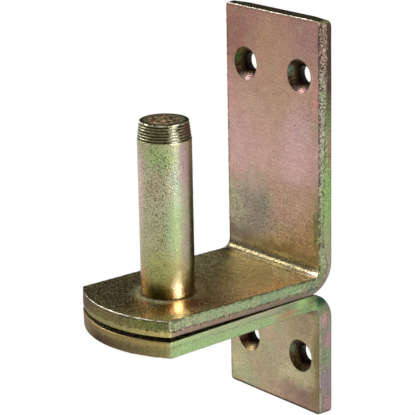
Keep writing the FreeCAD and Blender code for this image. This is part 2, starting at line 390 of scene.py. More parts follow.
def torn_inset(row, share, limit, tear):
    """How far the sheared wall lies in: score lines where the tool cut, grains where the steel broke."""
    torn = tear * smooth(limit - 0.05, limit + 0.10, share)
    grains = 0.06 * field(row, 1.0) + 0.06 * field(row, 0.5, 7.0)
    scores = 0.012 * field(row, (0.4, 0.4, 6.0), 3.0)
    return torn * (0.06 + 0.06 * share + grains) + scores


def add_band(skin, strip, loop, inward):
    """The sheared edge from the rolled-over rim of the outer face to the burr on the inner face."""
    level = row_at(loop, inward, 0.0, 0.0)
    limit = CUT_SHARE + 0.10 * field(level, 6.0, 11.0)
    rows = []
    for step in range(ROLL_ROWS):
        turn = math.pi / 2 * step / ROLL_ROWS
        inset = ROLLOVER_RADIUS * (1.0 - math.sin(turn))
        rows.append(row_at(loop, inward, inset, ROLLOVER_RADIUS * (1.0 - math.cos(turn))))
    for step in range(WALL_ROWS + 1):
        share = step / WALL_ROWS
        depth = ROLLOVER_RADIUS + (THICKNESS - BURR_RADIUS - ROLLOVER_RADIUS) * share
        inset = torn_inset(row_at(loop, inward, 0.0, depth), share, limit, strip.tear)
        rows.append(row_at(loop, inward, inset, depth))
    jag = inset + 0.07 * strip.tear * field(level, 0.8, 15.0)
    rise = 0.03 + 0.12 * strip.tear * np.clip(field(level, 1.3, 5.0) + 0.2, 0.0, None)
    for step in range(1, BURR_ROWS + 1):
        turn = math.pi / 2 * step / BURR_ROWS
        depth = THICKNESS - (BURR_RADIUS + rise) * (1.0 - math.sin(turn)) + rise
        rows.append(row_at(loop, inward, jag + BURR_RADIUS * (1.0 - math.cos(turn)), depth))
    numbers = [skin.add(row, 0.0) for row in rows]
    numbers.append(skin.add(row_at(loop, inward, inset + LIP_WIDTH, THICKNESS), LIP_WIDTH))
    skin.join(numbers[:-1], SHEARED_BAND)
    skin.join(numbers[-2:], INNER_FACE)
    return numbers[0], numbers[-1]


# Holes, as lists of radius and depth from the inner face to the outer face
def screw_hole():
    """A countersunk screw hole with slightly broken rims."""
    mouth = [(SCREW_MOUTH + HOLE_RIM, THICKNESS), (SCREW_MOUTH, THICKNESS - HOLE_RIM / 2)]
    drops = [share * COUNTERSINK_DEPTH for share in (0.1, 0.35, 0.65, 0.93)]
    cone = [(SCREW_MOUTH - drop, THICKNESS - drop) for drop in drops]
    depths = (SCREW_CONE_FOOT - 0.1, SCREW_CONE_FOOT / 2, 3 * HOLE_RIM)
    bore = [(SCREW_HOLE_RADIUS, depth) for depth in depths]
    return mouth + cone + bore + [(SCREW_HOLE_RADIUS + 2 * HOLE_RIM, 0.0)]


def screw_holes(strip, height):
    """The two screw holes of a plate."""
    along = strip.plate_along(height)
    return [(along, side * SCREW_SPACING / 2, screw_hole()) for side in (-1, 1)]


def spigot_hole(strip, mouth, slope_depth):
    """The hole for the pin's spigot, with a countersink on the inner face where the mouth is wider."""
    radius = SPIGOT_RADIUS + FIT_CLEARANCE
    profile = [(mouth, THICKNESS), (radius, THICKNESS - slope_depth), (radius, 0.0)]
    return strip.tongue_along(0.0), 0.0, profile


def add_hole(skin, along, across, profile):
    """The wall of one hole, and the two loops where it meets the faces."""
    rings = [ring_of(radius, depth, HOLE_SEGMENTS) for radius, depth in profile]
    rows = [skin.add(ring + (along, across, 0.0)) for ring in rings]
    skin.join(rows, HOLE_WALL)
    return rows[0], rows[-1]


def gaps_to(rim, places):
    """How far each flat place is from a rim, worked in batches to save memory."""
    batches = np.array_split(places, GAP_BATCHES)
    return np.concatenate([np.linalg.norm(batch[:, None] - rim, axis=2).min(axis=1) for batch in batches])


def inside_points(skin, strip, loops):
    """Even rows of places on a face, closer together in the bend and clear of its loops."""
    tongue = np.arange(strip.nose, -FACE_STEP / 2, FACE_STEP)
    bend = np.linspace(0.0, strip.bend_length, BEND_ROWS)
    plate = np.arange(strip.bend_length + FACE_STEP, strip.end - 1.3 * strip.end_radius, FACE_STEP)
    end = strip.end - strip.end_radius * np.linspace(1.0, 0.25, END_ROWS)
    rows = np.concatenate((tongue, bend, plate, end))
    along, across = np.meshgrid(rows, np.arange(-HALF_WIDTH, HALF_WIDTH, FACE_STEP))
    places = np.column_stack((along.ravel(), across.ravel()))
    gaps = [gaps_to(skin.points[loop, :2], places) for loop in loops]
    inside = (places[:, 0] > strip.nose_along(places[:, 1])) & skin.clear_of(loops[1:], places)
    kept = inside & (np.min(gaps, axis=0) > FACE_MARGIN)
    return places[kept], gaps[0][kept]


def round_end(skin, strip):
    """Drops the outer face in a quarter round towards the plate's end, most at its corners."""
    at_corner = smooth(HALF_WIDTH - CORNER_ROLL, HALF_WIDTH, np.abs(skin.points[:, 1]))
    radius = END_ROLL + (strip.end_radius - END_ROLL) * at_corner
    short = np.clip(radius - (strip.end - skin.points[:, 0]), 0.0, radius)
    drop = radius - np.sqrt(radius ** 2 - short ** 2)
    skin.points[:, 2] = drop + skin.points[:, 2] * (1.0 - drop / THICKNESS)


def make_bracket(name, strip, holes, materials):
    """One bracket: sheared band, hole walls and the two rolled faces."""
    skin = Skin()
    loop, inward = outline_of(strip)
    outer_rim, inner_rim = add_band(skin, strip, loop, inward)
    rims = [add_hole(skin, *hole) for hole in holes]
    faces = (
        (INNER_FACE, THICKNESS, [inner_rim] + [rim[0] for rim in rims]),
        (OUTER_FACE, 0.0, [outer_rim] + [rim[1] for rim in rims]),
    )
    for finish, depth, loops in faces:
        flat, gaps = inside_points(skin, strip, loops)
        inside = skin.add(np.column_stack((flat, np.full(len(flat), depth))), gaps)
        skin.cover(loops, inside, finish)
    round_end(skin, strip)
    skin.points[:, 2] += WAVE_DEPTH * field(skin.points * (1.0, 1.0, 0.0), WAVE_LENGTH, 23.0)
    return skin.to_object(name, strip.to_space, materials)


# The pin, as rows of radius and height from its rivet head to its end
def pin_profile():
    """Radii and heights of the pin's rows, from the rivet head up."""
    dome = (0.1, 0.4, 0.7, 0.9, 1.0)
    rows = [(share * FLARE_RADIUS, RIVET_FOOT - RIVET_DOME * (1.0 - share ** 2)) for share in dome]
    rows += [(FLARE_RADIUS, RIVET_FOOT + RIVET_EDGE / 2), (SPIGOT_RADIUS, RIVET_FOOT + FLARE_HEIGHT)]
    rows += [(SPIGOT_RADIUS, 0.02), (PIN_RADIUS - 0.25, 0.02), (PIN_RADIUS - 0.05, 0.1), (PIN_RADIUS, 0.3)]
    rows += [(PIN_RADIUS, height) for height in np.linspace(0.6, LEAD_IN_FOOT, PIN_ROWS)]
    for step in range(1, RING_MARKS * RING_MARK_ROWS + 1):
        share = step / (RING_MARKS * RING_MARK_ROWS)
        mark = RING_MARK_DEPTH * abs(math.sin(math.pi * step / RING_MARK_ROWS))
        rows.append((PIN_RADIUS - LEAD_IN_TAPER * share - mark, LEAD_IN_FOOT + share * RING_MARKS_HEIGHT))
    rows += [(PIN_END_RADIUS - 0.1, PIN_HEIGHT - 0.12), (PIN_END_RADIUS - 0.3, PIN_HEIGHT)]
    rim = np.linspace(PIN_END_RADIUS - 0.6, END_RECESS_RADIUS + 0.25, 5)
    rows += [(radius, PIN_HEIGHT) for radius in rim]
    recess = np.linspace(END_RECESS_RADIUS - 0.1, END_PIP_RADIUS + 0.3, 12)
    rows += [(radius, END_RECESS_FLOOR) for radius in recess]
    pip = ((END_PIP_RADIUS, 0.1), (0.6 * END_PIP_RADIUS, 0.22), (0.2, 0.25))
    return rows + [(radius, END_RECESS_FLOOR + rise) for radius, rise in pip]


def make_pin(name, materials):
    """The turned pin, with a rough end and faint dents on its round."""
    skin = Skin()
    rows = []
    for radius, height in pin_profile():
        ring = ring_of(radius, height, PIN_SEGMENTS)
        dents = 0.012 * field(ring, 1.1) + 0.02 * field(ring, 5.0, 9.0)
        if height > LEAD_IN_FOOT:
            dents += 0.05 * field(ring, (1.5, 1.5, 0.4), 4.0)
        if height > END_RECESS_FLOOR - 0.01 and radius < END_RECESS_RADIUS + 0.2:
            ring[:, 2] += 0.10 * field(ring, 1.6, 2.0)
        if radius > SPIGOT_RADIUS:
            ring[:, :2] *= (1.0 + dents / radius)[:, None]
        rows.append(skin.add(ring))
    skin.join(rows, PIN_SURFACE)
    for row, height in ((rows[0], RIVET_FOOT - RIVET_DOME), (rows[-1], PIN_HEIGHT)):
        tip = skin.add(np.array(((0.0, 0.0, height),)))
        skin.cap(row, tip[0], PIN_SURFACE)
    return skin.to_object(name, lambda points: points * MM, materials)


# Materials
def srgb(red, green, blue):
    """A colour as a screen shows it, 0 to 255, as linear values."""
    shares = [part / 255 for part in (red, green, blue)]
    linear = [part / 12.92 if part <= 0.04045 else ((part + 0.055) / 1.055) ** 2.4 for part in shares]
    return (*linear, 1.0)


def shades(*rows):
    """Stops of a ramp, from rows of a place and a screen colour."""
    return [(place, srgb(*colour)) for place, *colour in rows]


def laid(on_surface, *rows):
    """Patches on a surface, from rows of a place, a reach, a screen colour and a strength."""
    return [(*on_surface(place, reach), colour, strength) for place, reach, colour, strength in rows]


DARK_PIT = srgb(44, 37, 28)
# Pale cream of painted highlights: on burrs, on glints of the torn edges and on the pin's end edge
PAINTED_HIGHLIGHT = srgb(250, 240, 216)
PALE_RIM = srgb(160, 156, 138)
GREEN_FILM = srgb(160, 180, 122)
PINK_FILM = srgb(202, 158, 150)
GRAZING_TINT = srgb(186, 176, 196)


class Nodes:
    """A node tree under construction, with short calls for the nodes it needs."""

    def __init__(self, tree):
        self.tree = tree

    def node(self, kind, inputs, **settings):
        """Adds a node; inputs are numbers, colours or other nodes' outputs."""
        added = self.tree.nodes.new(kind)
        for key, value in settings.items():
            setattr(added, key, value)
        for key, value in inputs.items():
            if isinstance(value, bpy.types.NodeSocket):
                self.tree.links.new(value, added.inputs[key])
            else:
                added.inputs[key].default_value = value
        return added

    def parts(self, vector):
        return self.node("ShaderNodeSeparateXYZ", {"Vector": vector}).outputs

    def math(self, operation, first, second=0.0):
        return self.node("ShaderNodeMath", {0: first, 1: second}, operation=operation).outputs[0]

    def product(self, first, *others):
        """Multiplies shares with each other."""
        for other in others:
            first = self.math("MULTIPLY", first, other)
        return first

    def plus(self, value, share, change):
        """A value with a change added where a share says so."""
        inputs = {0: share, 1: change, 2: value}
        return self.node("ShaderNodeMath", inputs, operation="MULTIPLY_ADD").outputs[0]

    def apart(self, value, mark):
        """How far a value is from a mark."""
        return self.math("ABSOLUTE", self.math("SUBTRACT", value, mark))

    def vector(self, operation, first, second, output=0):
        return self.node("ShaderNodeVectorMath", {0: first, 1: second}, operation=operation).outputs[output]

    def length(self, vector):
        return self.node("ShaderNodeVectorMath", {0: vector}, operation="LENGTH").outputs["Value"]

    def span(self, value, low, high, to_low=0.0, to_high=1.0):
        """A value taken from one range to another, and held at the ends."""
        inputs = {"Value": value, "From Min": low, "From Max": high, "To Min": to_low, "To Max": to_high}
        return self.node("ShaderNodeMapRange", inputs).outputs["Result"]

    def mix(self, share, first, second, blend_type="MIX"):
        """The first colour where the share is 0, and the second where it is 1."""
        inputs = {0: share, 6: first, 7: second}
        return self.node("ShaderNodeMix", inputs, data_type="RGBA", blend_type=blend_type).outputs[2]

    def mixed_shader(self, share, first, second):
        inputs = {0: share, 1: first.outputs[0], 2: second.outputs[0]}
        return self.node("ShaderNodeMixShader", inputs).outputs[0]

    def ramp(self, value, stops):
        """Colours along a value; stops are pairs of place and colour."""
        added = self.node("ShaderNodeValToRGB", {"Fac": value})
        points = added.color_ramp.elements
        while len(points) < len(stops):
            points.new(0.5)
        for point, (place, colour) in zip(points, stops):
            point.position = place
            point.color = colour
        return added.outputs["Color"]


class Finish(Nodes):
    """A metal material under construction, worked by the flat places of its points."""

    def __init__(self, name):
        self.material = bpy.data.materials.new(name)
        self.material.use_nodes = True
        super().__init__(self.material.node_tree)
        self.shader = self.tree.nodes["Principled BSDF"]
        self.shader.inputs["Metallic"].default_value = 1.0
        self.place = self.attribute("flat_place", "Vector")

    def attribute(self, name, output):
        return self.node("ShaderNodeAttribute", {}, attribute_name=name).outputs[output]

    def noise(self, size, detail=3.0, roughness=0.6, stretch=(1.0, 1.0, 1.0), output="Fac"):
        """Noise with lumps of about that size in millimetres, longer where it is stretched."""
        place = self.vector("DIVIDE", self.place, tuple(size * part for part in stretch))
        inputs = {"Vector": place, "Scale": 1.0, "Detail": detail, "Roughness": roughness}
        return self.node("ShaderNodeTexNoise", inputs).outputs[output]

    def wandering(self, size, reach):
        """The flat place pushed about by noise, so that borders between colours wander."""
        push = self.vector("SUBTRACT", self.noise(size, 5.0, 0.65, output="Color"), (0.5, 0.5, 0.5))
        push = self.vector("MULTIPLY", push, (2 * reach, 2 * reach, 2 * reach))
        return self.vector("ADD", self.place, push)

    def from_patch(self, place, centre, reach):
        """How far a place is from a patch's centre, 1 where the patch ends."""
        return self.length(self.vector("DIVIDE", self.vector("SUBTRACT", place, centre), reach))

    def paint(self, colour, place, patches):
        """Lays soft oval patches over a colour; each is a centre, a reach, a screen colour and a strength."""
        for centre, reach, tint, strength in patches:
            share = self.span(self.from_patch(place, centre, reach), 1.0, 0.3, 0.0, strength)
            colour = self.mix(share, colour, srgb(*tint))
        return colour

    def grained(self, colour, grain, depth):
        """Lightens and darkens a colour by a fine grain."""
        return self.mix(1.0, colour, self.span(grain, 0.3, 0.7, 1.0 - depth, 1.0 + depth), "MULTIPLY")

    def finish(self, colour, roughness, height, relief):
        """Links the shader; relief is how deep the height's bumps are, in millimetres."""
        inputs = {"Height": height, "Strength": 1.0, "Distance": relief * MM}
        normal = self.node("ShaderNodeBump", inputs).outputs["Normal"]
        for name, socket in (("Base Color", colour), ("Roughness", roughness), ("Normal", normal)):
            self.tree.links.new(socket, self.shader.inputs[name])
        return self.material


# The azimuth from which the photograph shows the pin, for the places of colours on it
PIN_VIEW = math.radians(50.6)


def to_the_right(made, x, y):
    """How far to the right of the pin's axis the photograph shows a place."""
    return made.plus(made.product(x, math.cos(PIN_VIEW)), y, math.sin(PIN_VIEW))


def pin_halo(made, colour):
    """A pale ring where the plating pooled round the pin's foot, and painted contact shade in a dark line
    against the pin.
    """
    offset = made.vector("SUBTRACT", made.wandering(2.5, 1.6), (upper_strip.tongue_along(0.0), 0.0, 0.0))
    spread = made.length(made.vector("MULTIPLY", offset, (1.0, 1.0, 0.0)))
    along, across, _ = made.parts(offset)
    pooled = made.span(spread, PIN_RADIUS + 4.2, PIN_RADIUS + 1.0)
    pooled = made.product(pooled, made.span(to_the_right(made, across, along), -2.0, 7.0, 1.0, 0.35))
    colour = made.mix(made.product(pooled, 0.8), colour, srgb(188, 186, 148))
    # Painted contact shade where the pin stands on the tongue.
    shaded = made.span(spread, PIN_RADIUS + 0.9, PIN_RADIUS + 0.2, 0.0, 0.7)
    return made.mix(shaded, colour, srgb(64, 62, 44)), pooled


def painted_reflection_streak(made):
    """Where the pin's bright reflection is painted on the tongue in front of the pin, which is also made
    smoother there.
    """
    centre, reach = upper_strip.on_tongue((-8.0, 12.5), (12.0, 5.0))
    return made.span(made.from_patch(made.place, centre, reach), 1.0, 0.5)


def film(made, strip, stops, patches):
    """Film colours along a strip, in patches with wandering borders and a few green and pink clouds."""
    place = made.wandering(11.0, 7.0)
    run = made.span(made.parts(place)[0], strip.nose, strip.end)
    colour = made.paint(made.ramp(run, stops), place, patches)
    green = made.span(made.noise(8.0), 0.55, 0.8, 0.0, 0.35)
    pink = made.span(made.noise(13.0, stretch=(1.0, 1.6, 1.0)), 0.55, 0.8, 0.0, 0.35)
    return made.mix(pink, made.mix(green, colour, GREEN_FILM), PINK_FILM)


def bend_shade_and_scuffs(made, colour):
    """Painted shade along the upper part of the inner bend, standing in for the dark reflection there and
    dimming its highlight, crossed by darker scuffs.
    """
    along, across, _ = made.parts(made.place)
    # Painted shade across the upper part of the inner bend
    bend_shade = made.span(made.apart(along, 6.2), 3.4, 1.6)
    bend_shade = made.product(bend_shade, made.span(across, 20.0, 16.0, 0.25, 1.0))
    scuffs = made.span(made.noise(0.45, 3.0, 0.7, (2.5, 1.0, 1.0)), 0.46, 0.58, 0.0, 0.75)
    colour = made.mix(made.product(bend_shade, 0.8), colour, srgb(98, 86, 58))
    return made.mix(made.product(bend_shade, scuffs), colour, srgb(48, 42, 28))


def foot_smut(made, strip, colour, strength):
    """Dark smut that was left on the foot of a plate, next to its bend."""
    along = made.parts(made.place)[0]
    edge = made.parts(made.wandering(6.0, 6.0))[0]
    above_bend = made.span(along, strip.bend_length, strip.bend_length + 5.0)
    blots = made.span(made.noise(0.6, 4.0, 0.75), 0.46, 0.62, 0.0, strength)
    return made.mix(made.product(blots, above_bend, made.span(edge, 34.0, 22.0)), colour, srgb(84, 74, 56))


def burr_highlight(made, strip, fade):
    """Where a highlight is painted on the burr: round the nose, least at its left end, and at the end of a
    torn plate.
    """
    along, across, _ = made.parts(made.place)
    from_left = made.span(across, -18.0, -11.0, 0.1, 1.0)
    on_nose = made.product(made.span(along, strip.nose_side, strip.nose_side - fade), from_left)
    on_end = made.span(along, strip.end - 1.6, strip.end - 1.0, 0.0, strip.torn_end)
    return made.math("MAXIMUM", on_nose, on_end)


def rim_pits_and_highlight(made, strip, colour):
    """Pits along the rim of a face, a painted highlight on the burr at its ends, and a dark end where it is
    not torn.
    """
    along = made.parts(made.place)[0]
    gap = made.attribute("edge_gap", "Fac")
    broken = made.noise(1.8, 2.0)
    pitted = made.product(made.span(gap, 0.7, 0.1), made.span(broken, 0.4, 0.55, 0.0, 0.75))
    colour = made.mix(pitted, colour, DARK_PIT)
    # Painted highlight on the burr, where the edge catches the light
    highlit_burr = made.product(burr_highlight(made, strip, 0.5), made.span(gap, 0.25, 0.05))
    highlit_burr = made.product(highlit_burr, made.span(broken, 0.35, 0.5, 0.25, 0.9))
    colour = made.mix(highlit_burr, colour, PAINTED_HIGHLIGHT)
    dark_end = made.span(along, strip.end - 0.9, strip.end - 0.5, 0.0, 0.8 * (1 - strip.torn_end))
    return made.mix(dark_end, colour, DARK_PIT)


def face_finish(name, strip, stops, patches=(), smut=0.0, halo=False):
    """Rolled face: film colours in wandering patches, dark specks, fine grain, painted sparkle on the tongue
    and a pitted rim with a painted highlight on its burr.
    """
    made = Finish(name)
    along = made.parts(made.place)[0]
    tongue = made.span(along, 5.0, -3.0)
    bend_half = strip.bend_length / 2
    bend = made.span(made.apart(along, bend_half), bend_half, strip.bend_length / 3)
    grain = made.noise(0.3, 2.0)
    sand = made.noise(0.55, 4.0, 0.8, (1.4, 0.7, 1.0))
    streaks = made.noise(0.35, 2.0, 0.6, (0.6, 14.0, 1.0))
    crowding = made.span(made.noise(9.0, 4.0), 0.3, 0.7, -0.07, 0.06)
    specks = made.math("ADD", made.noise(0.36, 2.0), crowding)
    painted_sparkle = made.product(made.span(made.noise(0.45, 2.0), 0.58, 0.66), tongue)
    dull = made.product(made.span(made.noise(1.6, 3.0), 0.46, 0.56), bend)

    colour = bend_shade_and_scuffs(made, film(made, strip, stops, patches))
    roughness = made.span(made.noise(2.5, 4.0), 0.3, 0.7, 0.24, 0.42)
    sandy = made.product(sand, tongue)
    if halo:
        colour, pooled = pin_halo(made, colour)
        reflection_streak = painted_reflection_streak(made)
        # Painted reflection of the pin's highlight stripe, golden, on the tongue in front of it.
        colour = made.mix(made.product(reflection_streak, 0.7), colour, srgb(250, 186, 124))
        roughness = made.plus(made.plus(roughness, pooled, 0.4), reflection_streak, -0.2)
        sandy = made.product(sandy, made.span(reflection_streak, 0.0, 1.0, 1.0, 0.35))
    if smut:
        colour = foot_smut(made, strip, colour, smut)
    brushed = made.grained(made.grained(colour, grain, 0.32), streaks, 0.12)
    colour = made.mix(tongue, brushed, made.grained(colour, sand, 0.9))
    pitted = made.product(made.span(specks, 0.56, 0.68), made.span(tongue, 0.0, 1.0, 0.6, 0.3))
    # Pale painted sparkle on the tongue's sand, a painted highlight; it is rougher there too.
    colour = made.mix(made.product(painted_sparkle, 0.8), colour, srgb(255, 236, 190))
    colour = rim_pits_and_highlight(made, strip, made.mix(pitted, colour, DARK_PIT))

    for share, change in ((bend, -0.22), (dull, 0.2), (tongue, -0.07), (painted_sparkle, 0.42)):
        roughness = made.plus(roughness, share, change)

    creases = made.product(made.noise(0.3, 3.0, 0.7, (0.7, 2.2, 1.0)), bend)
    height = made.span(specks, 0.52, 0.7, 0.0, -0.4)
    for share, change in ((grain, 0.25), (sandy, 3.0), (creases, 0.5)):
        height = made.plus(height, share, change)
    wobble = made.span(made.noise(3.0, 3.0), 0.3, 0.7, -0.25, 0.25)
    for mark in (5.1, 6.8):
        gap = made.apart(made.math("ADD", along, wobble), mark)
        height = made.math("ADD", height, made.span(gap, 0.45, 0.0, 0.0, 0.5))
    return made.finish(colour, roughness, height, 0.05)


def band_finish(name, strip, torn_stops, cut_stops, patches, rim_colour, rim_from=BEFORE_NOSE):
    """Sheared edge: scored where the tool cut, grainy where the steel broke, in different film colours."""
    made = Finish(name)
    made.shader.inputs["Specular Tint"].default_value = GRAZING_TINT
    along, _, depth = made.parts(made.place)
    grain = made.noise(0.3, 2.0)
    pits = made.noise(0.45, 3.0, 0.65, (0.85, 1.0, 1.25))
    scores = made.noise(0.5, 2.0, 0.5, (1.0, 1.0, 12.0))
    broken = made.noise(1.8, 2.0)
    drift = made.span(made.noise(9.0, 5.0), 0.3, 0.7, -5.0, 5.0)
    drift = made.product(drift, made.span(along, strip.nose_side, strip.nose_side + NOSE_DEPTH))
    run = made.span(made.math("ADD", along, drift), strip.nose, strip.end)
    border = made.span(made.noise(1.2, 4.0), 0.3, 0.7, -0.5, 0.5)
    on_plate = made.span(along, strip.bend_length, strip.bend_length + 6.0)
    narrowing = made.span(along, strip.bend_length + 12.0, strip.end - 10.0, -1.9 * strip.tear, 0.0)
    level = made.plus(made.math("ADD", depth, border), on_plate, narrowing)
    torn = made.span(level, 1.4, 2.6)
    colour = made.mix(torn, made.ramp(run, cut_stops), made.ramp(run, torn_stops))
    colour = made.paint(colour, made.wandering(3.0, 1.2), patches)
    colour = made.grained(made.grained(colour, grain, 0.35), scores, 0.1 * strip.tear)

    tear = made.span(along, strip.bend_length, strip.end - 20.0, 0.5 * strip.tear, strip.tear)
    pitted = made.product(made.span(pits, 0.52, 0.58), made.span(torn, 0.0, 1.0, 0.35, 1.0), tear)
    colour = made.mix(pitted, colour, DARK_PIT)
    # Painted glints on the torn zone
    glints = made.span(made.noise(0.45, 2.0), 0.6, 0.7, 0.0, 0.5)
    colour = made.mix(made.product(glints, torn, tear), colour, PAINTED_HIGHLIGHT)
    crack = made.span(made.apart(level, 1.8), 0.3, 0.1)
    crack = made.product(crack, made.span(broken, 0.42, 0.52, 0.0, 0.75 * strip.tear))
    colour = made.mix(crack, colour, DARK_PIT)
    near_rim = made.span(made.math("ADD", depth, border), THICKNESS - 0.7, THICKNESS - 0.3)
    under_rim = made.product(near_rim, made.span(along, rim_from, rim_from + 3.0))
    colour = made.mix(made.product(under_rim, made.span(broken, 0.4, 0.5, 0.0, 0.7)), colour, rim_colour)
    # Painted highlight in a pale line down the nose's corner
    corner = made.span(made.apart(along, strip.nose_side), 0.4, 0.15, 0.0, 0.35 * strip.tear)
    colour = made.mix(corner, colour, srgb(196, 188, 172))

    plate_end = made.span(along, strip.end - 1.3, strip.end - 0.7, 0.0, 0.85)
    colour = made.mix(plate_end, colour, srgb(116, 108, 74))
    # Painted highlight along the burr round the nose and at a torn plate's end
    highlit_burr = made.span(depth, THICKNESS - 1.2 * BURR_RADIUS, THICKNESS - 0.6 * BURR_RADIUS)
    highlit_burr = made.product(highlit_burr, burr_highlight(made, strip, 0.6), made.span(broken, 0.4, 0.54, 0.15, 0.85))
    colour = made.mix(highlit_burr, colour, PAINTED_HIGHLIGHT)

    roughness = made.span(pits, 0.3, 0.7, 0.26, 0.46)
    height = made.plus(made.span(pits, 0.45, 0.7, 0.0, -0.3 - 0.7 * strip.tear), scores, 0.5)
    return made.finish(colour, roughness, height, 0.07)


def hole_finish(name, patches):
    """Drilled and countersunk wall: fine rings from the drill in a dark film, with painted shade down the
    bore.
    """
    made = Finish(name)
    depth = made.parts(made.place)[2]
    clouds = made.noise(4.0, 4.0)
    colour = made.ramp(clouds, shades((0.38, 46, 34, 20), (0.52, 84, 64, 42), (0.66, 112, 100, 64)))
    colour = made.paint(colour, made.wandering(1.5, 0.8), patches)
    grain = made.noise(0.5, 3.0, 0.7)
    colour = made.grained(colour, grain, 0.95)
    # Painted shade deep in the bore
    bore_shade = made.span(depth, SCREW_CONE_FOOT + 1.4, SCREW_CONE_FOOT + 0.1)
    colour = made.mix(bore_shade, colour, srgb(36, 24, 14))
    roughness = made.span(clouds, 0.3, 0.7, 0.32, 0.48)
    rings = made.math("SINE", made.product(depth, 12.0))
    return made.finish(colour, roughness, made.plus(grain, rings, 0.3), 0.08)


def on_pin(place, reach):
    """A patch on the pin's round: from -1 at its left outline to 1 at its right one, and its height."""
    side, height = place
    turn = PIN_VIEW + math.asin(side)
    return (PIN_RADIUS * math.sin(turn), -PIN_RADIUS * math.cos(turn), height), (reach[0], *reach)


PIN_FILM = shades(
    (0.0, 126, 98, 46), (0.1, 162, 146, 90), (0.3, 170, 166, 126), (0.7, 176, 174, 144),
    (1.0, 168, 158, 116),
)
PIN_PATCHES = laid(
    on_pin,
    ((-0.2, 43.5), (6, 6), (152, 172, 112), 0.75),
    ((-0.35, 34), (5, 6), (170, 154, 118), 0.6),
    ((0.4, 36), (2.4, 16), (160, 168, 146), 0.8),
    ((0.72, 40), (2.8, 14), (176, 144, 146), 0.85),
    ((0.72, 17), (2.4, 12), (168, 148, 138), 0.7),
    # pink film down the left edge, with a painted highlight on it
    ((-0.93, 32), (3.2, 18), (212, 176, 166), 0.75),
    ((0.3, 22), (4, 12), (152, 174, 124), 0.7),
    ((-0.25, 10), (5, 8), (162, 168, 104), 0.75),
    # painted shade at the pin's foot
    ((-0.3, 1), (5, 4.6), (56, 50, 4), 0.95),
    ((-0.92, 5), (2.4, 6.5), (186, 134, 76), 0.85),
    # the plate's dark reflection painted on the right of the foot
    ((0.85, 2.5), (3, 6), (96, 74, 44), 0.85),
    # painted highlight stripe low on the right
    ((0.42, 3), (2.2, 6), (255, 238, 200), 0.95),
    # the plate's dark reflection painted up the right edge
    ((0.97, 20), (3, 34), (78, 66, 52), 0.9),
)
# Painted shade on the left of the ring marks, a painted highlight right of centre and a painted dark
# reflection at the right
RING_LIGHT_AND_SHADE = laid(
    on_pin,
    ((-0.25, 50), (4.5, 4), (70, 70, 40), 0.6),
    ((0.38, 50), (2.2, 6), (236, 232, 200), 0.55),
    ((0.85, 50), (2.6, 5), (128, 92, 84), 0.5),
)


def ring_marks(made, height, place):
    """The lead-in's ring marks: dark grooves with pale ridges between them, and painted light and shade
    across them.
    """
    pitch = RING_MARKS_HEIGHT / RING_MARKS
    phase = made.product(made.math("SUBTRACT", height, LEAD_IN_FOOT), math.pi / pitch)
    broken = made.span(made.noise(1.0, 3.0), 0.3, 0.7, -0.3, 0.3)
    depth = made.math("ADD", made.math("ABSOLUTE", made.math("SINE", phase)), broken)
    colour = made.mix(made.span(depth, 0.2, 0.8), srgb(158, 154, 116), srgb(40, 36, 22))
    return made.paint(colour, place, RING_LIGHT_AND_SHADE)


def sawn_end(made, radius, grain):
    """The pin's end: rust in its recess, a plain rim and a painted highlight on its edge."""
    stops = shades((0.42, 54, 42, 28), (0.52, 136, 110, 80), (0.62, 214, 188, 150))
    rust = made.ramp(made.noise(1.1, 4.0, 0.7), stops)
    on_rim = made.span(radius, END_RECESS_RADIUS - 0.3, END_RECESS_RADIUS + 0.1)
    colour = made.mix(on_rim, rust, made.grained(srgb(114, 108, 76), grain, 0.4))
    edge_highlight = made.span(radius, PIN_END_RADIUS - 0.45, PIN_END_RADIUS - 0.3)
    return made.mix(made.product(edge_highlight, made.span(made.noise(2.5), 0.45, 0.6)), colour, PAINTED_HIGHLIGHT)


def pin_finish(name):
    """Turned bar: pale olive film with green and pink clouds, a golden foot, dark pits and ring marks, with
    painted highlights and shade.
    """
    made = Finish(name)
    place = made.wandering(6.0, 3.0)
    x, y, height = made.parts(made.place)
    radius = made.length(made.vector("MULTIPLY", made.place, (1.0, 1.0, 0.0)))
    grain = made.noise(0.3, 2.0)
    colour = made.ramp(made.span(made.parts(place)[2], 0.0, PIN_HEIGHT), PIN_FILM)
    colour = made.grained(made.paint(colour, place, PIN_PATCHES), grain, 0.25)
    crowding = made.span(made.noise(7.0, 4.0), 0.3, 0.7, -0.06, 0.05)
    # Fewer dark specks towards the right, where the highlight falls, so that side is painted lighter
    crowding = made.math("ADD", crowding, made.span(to_the_right(made, x, y), 0.0, 3.5, 0.02, -0.07))
    crowding = made.math("ADD", crowding, made.span(height, 32.0, 6.0, 0.0, -0.045))
    specks = made.math("ADD", made.noise(0.36, 1.0), crowding)
    colour = made.mix(made.span(specks, 0.575, 0.645, 0.0, 0.9), colour, DARK_PIT)
    on_lead_in = made.span(height, LEAD_IN_FOOT - 0.1, LEAD_IN_FOOT + 0.1)
    colour = made.mix(on_lead_in, colour, ring_marks(made, height, place))
    at_end = made.span(height, PIN_HEIGHT - 0.45, PIN_HEIGHT - 0.3)
    colour = made.mix(at_end, colour, sawn_end(made, radius, grain))
    roughness = made.span(made.noise(2.2, 4.0), 0.3, 0.7, 0.25, 0.42)
    sawn = made.product(at_end, made.span(radius, PIN_END_RADIUS - 1.0, PIN_END_RADIUS - 1.4))
    roughness = made.plus(roughness, sawn, 0.4)
    roughness = made.plus(roughness, made.span(height, 10.0, 3.0), -0.05)
    relief = made.math("SUBTRACT", made.product(grain, 0.6), made.span(specks, 0.5, 0.68))
    return made.finish(colour, roughness, relief, 0.04)


